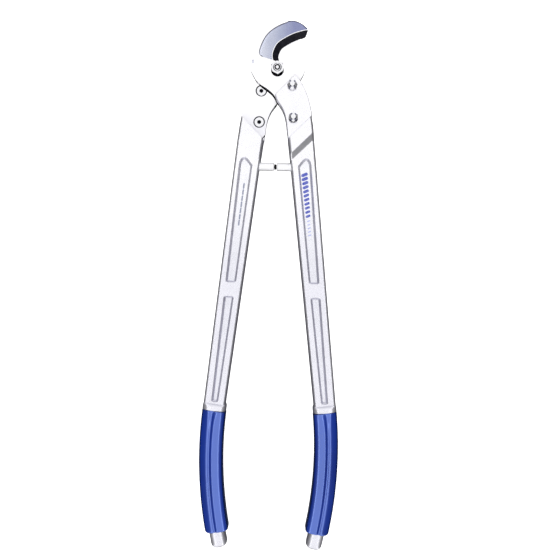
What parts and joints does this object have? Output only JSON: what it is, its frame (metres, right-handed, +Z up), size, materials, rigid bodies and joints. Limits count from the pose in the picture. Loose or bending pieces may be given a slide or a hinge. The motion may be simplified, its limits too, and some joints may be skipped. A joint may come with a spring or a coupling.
{
  "type": "cable cutter",
  "caption": "Long two-handed cable cutter: hooked blades that pass each other, clamped to forged handles which swing on a pivot bolt against a rubber stop.",
  "frame": {"origin": "on the surface the tool lies on, under the middle of its footprint", "axes": "+Y along the tool towards the blades, +Z up out of the face with the pivot nut, +X towards the handle that carries the front blade; the blades pass each other in the plane Z = 0.028"},
  "size_m": [0.2132, 0.8063, 0.056],
  "materials": {
    "right_handle": "satin",
    "left_handle": "satin",
    "right_grip": "gloss",
    "left_grip": "gloss",
    "front_blade": "ground",
    "rear_blade": "ground",
    "plated_steel": "zinc plated",
    "stop_bumper": "matte"
  },
  "bodies": {
    "left_half": {"left_handle": "left_handle", "left_grip": "left_grip", "rear_blade": "rear_blade", "left_upper_clamp_screw": "plated_steel", "left_upper_spring_washer": "plated_steel", "left_upper_clamp_nut": "plated_steel", "left_lower_clamp_screw": "plated_steel", "left_lower_spring_washer": "plated_steel", "left_lower_clamp_nut": "plated_steel", "stop_bumper": "stop_bumper", "pivot_bolt": "plated_steel", "pivot_nut": "plated_steel", "pivot_nut_washer": "plated_steel", "pivot_head_washer": "plated_steel"},
    "right_half": {"right_handle": "right_handle", "right_grip": "right_grip", "front_blade": "front_blade", "right_upper_clamp_screw": "plated_steel", "right_upper_spring_washer": "plated_steel", "right_upper_clamp_nut": "plated_steel", "right_lower_clamp_screw": "plated_steel", "right_lower_spring_washer": "plated_steel", "right_lower_clamp_nut": "plated_steel"}
  },
  "joints": [
    {"name": "pivot_hinge", "type": "hinge", "parent": "left_half", "child": "right_half", "pos_m": [0, 0.3268, 0.028], "axis": [0, 0, 1], "range_deg": [0, 120]}
  ]
}
